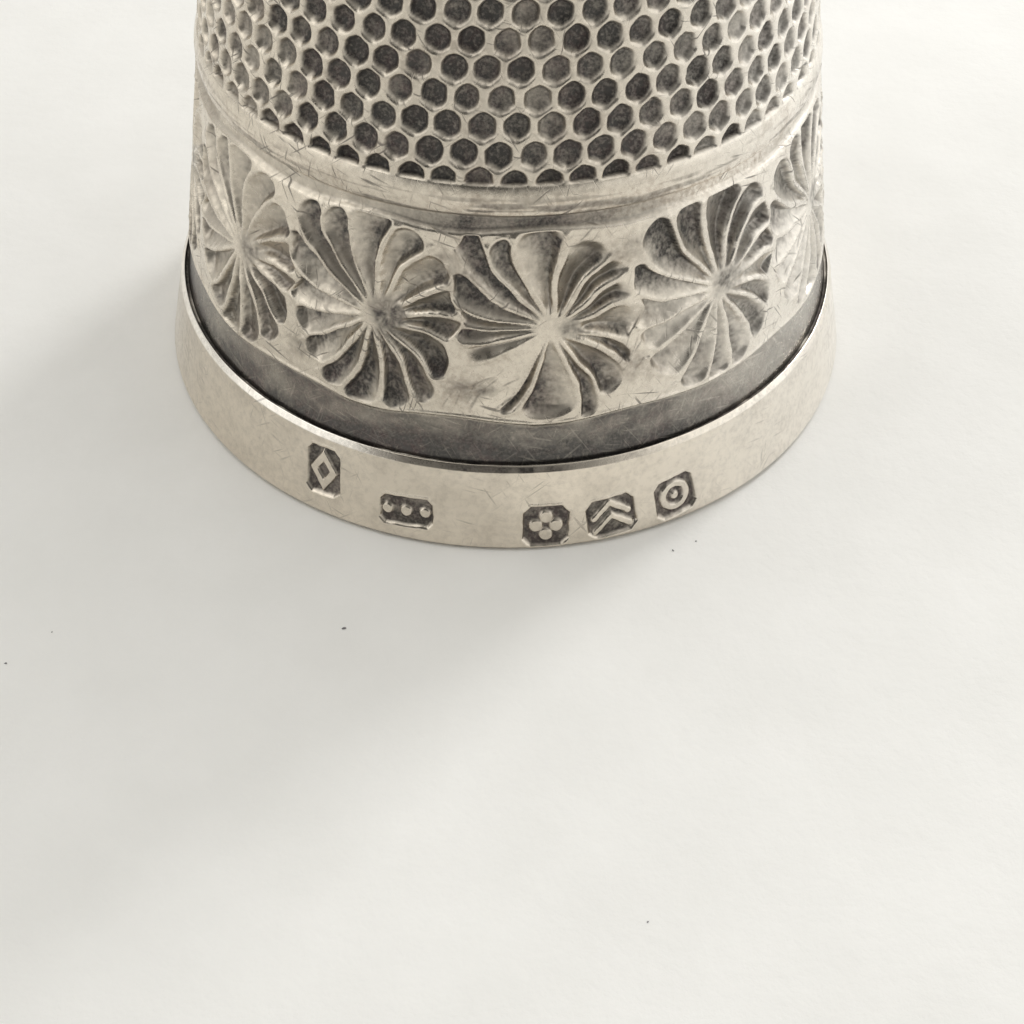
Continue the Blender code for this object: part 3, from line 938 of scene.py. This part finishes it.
# --- materials ------------------------------------------------------------------------
class Nodes:
    """Short ways to add nodes to a material's or a world's tree."""

    def __init__(self, owner, shader="Principled BSDF"):
        owner.use_nodes = True
        self.owner = owner
        self.tree = owner.node_tree
        self.shader = self.tree.nodes[shader]

    def add(self, kind, **settings):
        node = self.tree.nodes.new(kind)
        for key, value in settings.items():
            setattr(node, key, value)
        return node

    def feed(self, value, socket):
        """Set a socket from a number or a colour, or link another socket to it."""
        if isinstance(value, tuple):
            socket.default_value = (*value, 1.0)
        elif isinstance(value, (int, float)):
            socket.default_value = value
        else:
            self.tree.links.new(value, socket)

    def attribute(self, name, output="Fac"):
        return self.add("ShaderNodeAttribute", attribute_name=name).outputs[output]

    def position(self):
        """The object's own coordinates in millimetres."""
        where = self.add("ShaderNodeTexCoord").outputs["Object"]
        scaled = self.add("ShaderNodeVectorMath", operation="SCALE")
        scaled.inputs[3].default_value = 1000.0
        self.feed(where, scaled.inputs[0])
        return scaled.outputs[0]

    def math(self, op, a, b, clamp=False):
        node = self.add("ShaderNodeMath", operation=op, use_clamp=clamp)
        self.feed(a, node.inputs[0])
        self.feed(b, node.inputs[1])
        return node.outputs[0]

    def plus(self, a, b, clamp=False):
        return self.math("ADD", a, b, clamp)

    def minus(self, a, b, clamp=False):
        return self.math("SUBTRACT", a, b, clamp)

    def times(self, a, b, clamp=False):
        return self.math("MULTIPLY", a, b, clamp)

    def larger(self, a, b, clamp=False):
        return self.math("MAXIMUM", a, b, clamp)

    def mix(self, factor, a, b):
        node = self.add("ShaderNodeMix", data_type="RGBA")
        for slot, value in ((0, factor), (6, a), (7, b)):
            self.feed(value, node.inputs[slot])
        return node.outputs[2]

    def span(self, value, low, high, to_low=0.0, to_high=1.0, shape="LINEAR"):
        """Map low..high to to_low..to_high, held at both ends."""
        node = self.add("ShaderNodeMapRange", interpolation_type=shape)
        for slot, number in enumerate((low, high, to_low, to_high), 1):
            node.inputs[slot].default_value = number
        self.feed(value, node.inputs[0])
        return node.outputs[0]

    def noise(self, vector, scale, detail=3.0, rough=0.55, distortion=0.0):
        node = self.add("ShaderNodeTexNoise")
        node.inputs["Scale"].default_value = scale
        node.inputs["Detail"].default_value = detail
        node.inputs["Roughness"].default_value = rough
        node.inputs["Distortion"].default_value = distortion
        self.feed(vector, node.inputs["Vector"])
        return node.outputs["Fac"]

    def scratches(self, vector, turn, across, along, low, high, seed):
        """Thin lines: noise stretched along one direction and kept where it peaks."""
        rotate = self.add("ShaderNodeMapping")
        rotate.inputs["Rotation"].default_value = (0, 0, math.radians(turn))
        rotate.inputs["Location"].default_value = (seed * 3.7, seed * 1.9, 0)
        self.feed(vector, rotate.inputs["Vector"])
        scale = self.add("ShaderNodeMapping")
        scale.inputs["Scale"].default_value = (along, across, 1)
        self.feed(rotate.outputs[0], scale.inputs["Vector"])
        peaks = self.noise(scale.outputs[0], scale=1.0, detail=1.0, rough=0.4)
        return self.span(peaks, low, high)

    def bump(self, height, strength, distance):
        """Bump the shader's normal; the distance is in metres."""
        node = self.add("ShaderNodeBump")
        node.inputs["Strength"].default_value = strength
        node.inputs["Distance"].default_value = distance
        self.feed(height, node.inputs["Height"])
        self.feed(node.outputs[0], self.shader.inputs["Normal"])


# Families of scratches: turn in degrees, fineness across and along, the noise
# levels where a line starts and is full, seed.
SCRATCHES = (
    (14, 13.0, 0.95, 0.655, 0.72, 1),
    (58, 15.0, 1.10, 0.665, 0.73, 2),
    (-37, 14.0, 0.90, 0.665, 0.73, 3),
    (-76, 16.0, 1.20, 0.675, 0.74, 4),
)
# The first colour is the paler metal of the painted sheen, the second a purplish oxide.
PAINTED_SHEEN_SILVER, PURPLE_OXIDE = (0.95, 0.905, 0.835), (0.098, 0.074, 0.074)


def silver(name, bright, dark, brown, rough, scratch_amount, brown_amount=0.5):
    n = Nodes(bpy.data.materials.new(name))
    patina = n.attribute("patina")
    stain = n.attribute("stain")
    polish = n.attribute("polish")
    surf = n.attribute("surf", "Vector")
    solid = n.position()
    grain = n.noise(solid, scale=7.0, detail=5.0, rough=0.62)
    blotch = n.noise(solid, scale=0.8, detail=4.0, rough=0.6, distortion=0.4)
    speck = n.noise(solid, scale=15.0, detail=3.0, rough=0.6)
    patch = n.noise(solid, scale=0.55, detail=2.0, rough=0.5)
    patch = n.span(patch, low=0.44, high=0.60)
    raw_lines = None
    for family in SCRATCHES:
        one = n.scratches(surf, *family)
        raw_lines = one if raw_lines is None else n.larger(raw_lines, one)
    lines = n.times(n.times(raw_lines, patch), scratch_amount, clamp=True)
    # Oxide, broken up by grain and specks.
    broken = n.plus(patina, n.span(grain, low=0.25, high=0.75, to_low=-0.13, to_high=0.13))
    speckled = n.span(speck, low=0.32, high=0.62, to_low=0.80, to_high=1.07)
    broken = n.times(broken, speckled, clamp=True)
    # The cove is smoother than the cut parts.
    change = n.minus(broken, patina)
    half_polish = n.times(polish, 0.5)
    smoother = n.minus(broken, n.times(change, half_polish))
    oxide = n.larger(smoother, n.times(lines, 0.80), clamp=True)
    # On the dark cove the same scratches show pale instead.
    fleck = n.noise(solid, scale=4.2, detail=2.0, rough=0.45, distortion=1.6)
    fleck = n.span(fleck, low=0.655, high=0.70)
    fleck = n.larger(raw_lines, n.times(fleck, patch))
    oxide = n.minus(oxide, n.times(n.times(fleck, polish), 0.13), clamp=True)
    # Bright metal, paler under the painted sheen and browner where it is stained.
    shaded = tuple(c * 0.86 for c in bright)
    base = n.mix(n.span(blotch, low=0.35, high=0.70), bright, shaded)
    base = n.mix(n.attribute("sheen_paint"), base, PAINTED_SHEEN_SILVER)
    blotched = n.times(n.span(blotch, low=0.52, high=0.66), 0.55)
    blotched = n.plus(blotched, stain, clamp=True)
    browned = n.span(grain, low=0.40, high=0.62, to_high=brown_amount)
    stained = n.mix(n.times(blotched, browned, clamp=True), base, brown)
    # The oxide runs from neutral black to a brownish purple.
    warm = n.mix(n.span(blotch, low=0.42, high=0.60), dark, PURPLE_OXIDE)
    paler = tuple(c * 1.7 for c in dark)
    tarnish = n.mix(n.span(grain, low=0.35, high=0.65), warm, paler)
    n.feed(n.mix(oxide, stained, tarnish), n.shader.inputs["Base Color"])
    # Oxide is rougher, though less so where it is polished.
    roughness = n.span(grain, low=0.3, high=0.7, to_low=rough - 0.05, to_high=rough + 0.06)
    rougher = n.span(polish, low=0.0, high=1.0, to_low=0.38, to_high=0.08)
    roughness = n.plus(roughness, n.times(oxide, rougher), clamp=True)
    n.feed(roughness, n.shader.inputs["Roughness"])
    metal = n.span(oxide, low=0.0, high=1.0, to_low=1.0, to_high=0.82)
    n.feed(metal, n.shader.inputs["Metallic"])
    height = n.plus(n.times(grain, 0.5), n.times(speck, 0.25))
    height = n.minus(height, n.times(lines, 0.9))
    n.bump(height, strength=0.5, distance=0.000012)
    return n.owner


def floor_material():
    n = Nodes(bpy.data.materials.new("pale_tabletop"))
    where = n.position()
    mottle = n.noise(where, scale=0.35, detail=4.0, rough=0.55)
    tooth = n.noise(where, scale=2.6, detail=4.0, rough=0.62)
    darker, paler = (0.852, 0.847, 0.827), (0.893, 0.888, 0.870)
    colour = n.mix(n.span(mottle, low=0.3, high=0.7), darker, paler)
    n.feed(colour, n.shader.inputs["Base Color"])
    n.shader.inputs["Roughness"].default_value = 0.62
    n.shader.inputs["Specular IOR Level"].default_value = 0.25
    n.bump(tooth, strength=0.50, distance=0.00004)
    return n.owner


def dust_material():
    n = Nodes(bpy.data.materials.new("dust"))
    n.feed((0.19, 0.185, 0.19), n.shader.inputs["Base Color"])
    n.shader.inputs["Roughness"].default_value = 0.9
    return n.owner


def give(obj, material):
    obj.data.materials.clear()
    obj.data.materials.append(material)


# --- the thimble ----------------------------------------------------------------------
wall = build_wall()
crown = build_crown()
rim = build_rim()
seam = build_seam()

OXIDISED = dict(
    bright=(0.78, 0.71, 0.605),
    dark=(0.066, 0.063, 0.060),
    brown=(0.40, 0.31, 0.235),
    rough=0.23,
)
give(wall, silver("oxidised_silver", **OXIDISED, scratch_amount=0.85))
give(crown, silver("oxidised_silver_crown", **OXIDISED, scratch_amount=0.5, brown_amount=0.3))
rim_silver = silver(
    "handled_silver",
    bright=(0.82, 0.745, 0.635),
    dark=(0.055, 0.050, 0.046),
    brown=(0.55, 0.46, 0.37),
    rough=0.13,
    scratch_amount=0.40,
    brown_amount=0.25,
)
give(rim, rim_silver)
solder = silver(
    "solder_bead",
    bright=(0.60, 0.56, 0.49),
    dark=(0.040, 0.037, 0.034),
    brown=(0.35, 0.29, 0.23),
    rough=0.36,
    scratch_amount=0.0,
)
give(seam, solder)

for piece, node, slot in (
    (wall, "side_wall", "wall_silver"),
    (crown, "crown_cap", "crown_silver"),
    (rim, "rim_band", "rim_silver"),
    (seam, "rim_solder_seam", "solder"),
):
    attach(piece, "root")
    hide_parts(node)

# The crown's solder seam keeps its CAD mesh.
dull_solder = silver(
    "dull_solder",
    bright=(0.62, 0.59, 0.53),
    dark=(0.10, 0.095, 0.09),
    brown=(0.42, 0.35, 0.29),
    rough=0.42,
    scratch_amount=0.0,
)
for material_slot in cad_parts["crown_solder_seam"].material_slots:
    material_slot.link = "OBJECT"
    material_slot.material = dull_solder

# --- tabletop and dust ----------------------------------------------------------------
TABLE_HALF, TABLE_Z = 600, -0.012
# Crumbs on the table in front: x, y, size, turn in radians.
DUST = (
    (-3.56, -11.50, 0.034, 0.2), (4.10, -8.91, 0.022, 2.0), (4.67, -8.60, 0.017, 0.4),
    (-11.04, -12.67, 0.023, 0.3), (3.05, -19.02, 0.018, 0.9), (-10.19, -11.74, 0.014, 1.2),
)
# Rings of each crumb, from the table up: share of its width, height in sizes.
CRUMB_RINGS = ((1.0, -0.010), (0.75, 0.35), (0.25, 0.55))


def build_table():
    corners = [(-1, -1), (1, -1), (1, 1), (-1, 1)]
    points = [(x * TABLE_HALF, y * TABLE_HALF, TABLE_Z) for x, y in corners]
    return mesh_object("tabletop", np.array(points, float), [(0, 1, 2, 3)])


def build_dust():
    """Tiny dark crumbs, as low eight-sided lumps."""
    points, quads = [], []
    for k, (x, y, size, turn) in enumerate(DUST):
        first = len(points)
        lump = np.random.default_rng(300 + k).random(8) * 0.5 + 0.7
        c, s = math.cos(turn), math.sin(turn)
        for grow, level in CRUMB_RINGS:
            for i in range(8):
                a = math.tau * i / 8
                dx = 1.6 * size * lump[i] * grow * math.cos(a)
                dy = size * lump[i] * grow * math.sin(a)
                height = max(level * size, -0.01)
                points.append((x + c * dx - s * dy, y + s * dx + c * dy, height))
        for start in (first, first + 8):
            for i in range(8):
                j = (i + 1) % 8
                quads.append((start + i, start + j, start + 8 + j, start + 8 + i))
        for corners in ((0, 1, 2, 3), (0, 3, 4, 7), (4, 5, 6, 7)):
            quads.append(tuple(first + 16 + i for i in corners))
    return mesh_object("dust_specks", np.array(points, float), quads)


table = build_table()
give(table, floor_material())
dust = build_dust()
give(dust, dust_material())

# --- world ----------------------------------------------------------------------------
# Soft discs of sky: direction, the cosines where the disc starts and is full, amount.
BROAD_GLOW = ((0.5, 0.75, 0.25), -0.6, 1.0, 0.34)
GLOWS = (
    ((-0.50, 0.05, 0.86), 0.80, 0.97, 0.95),  # overhead
    ((1.0, -0.15, 0.40), 0.10, 1.0, 0.55),  # right
    ((-0.90, -0.30, 0.30), 0.82, 0.96, 0.72),  # left
)
VIEWER_SHADE = ((0.0, -0.74, 0.62), 0.66, 0.88, 0.66)
ROOM_LEVEL, DARKEST_LEVEL, SKY_STRENGTH = 0.74, 0.10, 0.752
GREEN_SHARE, BLUE_SHARE = 0.988, 0.945


def towards(n, split, direction, low, high, amount):
    """Amount times a soft-edged disc of sky round one direction."""
    length = math.sqrt(sum(c * c for c in direction))
    x, y, z = (n.times(split.outputs[k], c / length) for k, c in enumerate(direction))
    return n.span(n.plus(n.plus(x, y), z), low, high, to_high=amount, shape="SMOOTHSTEP")


def build_world():
    """A pale room, brighter overhead and to the sides, dark where a viewer stands."""
    world = bpy.data.worlds.new("studio")
    bpy.context.scene.world = world
    n = Nodes(world, shader="Background")
    coords = n.add("ShaderNodeTexCoord")
    split = n.add("ShaderNodeSeparateXYZ")
    n.feed(coords.outputs["Generated"], split.inputs[0])
    level = n.plus(towards(n, split, *BROAD_GLOW), ROOM_LEVEL)
    for glow in GLOWS:
        level = n.plus(level, towards(n, split, *glow))
    level = n.minus(level, towards(n, split, *VIEWER_SHADE))
    level = n.larger(level, DARKEST_LEVEL)
    tinted = n.add("ShaderNodeCombineColor")
    n.feed(level, tinted.inputs[0])
    n.feed(n.times(level, GREEN_SHARE), tinted.inputs[1])
    n.feed(n.times(level, BLUE_SHARE), tinted.inputs[2])
    n.feed(tinted.outputs[0], n.shader.inputs[0])
    n.shader.inputs[1].default_value = SKY_STRENGTH


# --- light and camera -----------------------------------------------------------------
def soft_light(name, location, aim, size, power, colour):
    """A square lamp; its place, aim and size are in metres."""
    data = bpy.data.lights.new(name, "AREA")
    data.shape = "RECTANGLE"
    data.size = data.size_y = size
    data.energy = power
    data.color = colour
    lamp = bpy.data.objects.new(name, data)
    bpy.context.scene.collection.objects.link(lamp)
    lamp.location = location
    lamp.rotation_mode = "QUATERNION"
    lamp.rotation_quaternion = (Vector(aim) - Vector(location)).to_track_quat("-Z", "Y")


CAMERA_AT = (0.2416, -37.2794, 30.2365)
CAMERA_PITCH, CAMERA_ROLL = math.radians(45.64), math.radians(0.82)


def build_camera():
    """In front and above, looking down by the pitch."""
    data = bpy.data.cameras.new("camera")
    camera = bpy.data.objects.new("camera", data)
    bpy.context.scene.collection.objects.link(camera)
    data.sensor_width = 36.0
    data.lens = 60.98
    data.clip_start, data.clip_end = 0.001, 10.0
    back = Vector((0, -math.cos(CAMERA_PITCH), math.sin(CAMERA_PITCH)))
    level_right = Vector((1, 0, 0))
    level_up = Vector((0, math.sin(CAMERA_PITCH), math.cos(CAMERA_PITCH)))
    c, s = math.cos(CAMERA_ROLL), math.sin(CAMERA_ROLL)
    right = c * level_right + s * level_up
    up = -s * level_right + c * level_up
    rows = [(right[k], up[k], back[k], CAMERA_AT[k] * MM) for k in range(3)]
    camera.matrix_world = Matrix((*rows, (0, 0, 0, 1)))
    bpy.context.scene.camera = camera


build_world()
soft_light(
    "window",
    location=(0.0754, 0.0867, 0.0965),
    aim=(0, 0, 0),
    size=0.0276,
    power=0.068,
    colour=(1.0, 0.995, 0.98),
)
build_camera()
bpy.context.scene.view_settings.view_transform = "Standard"
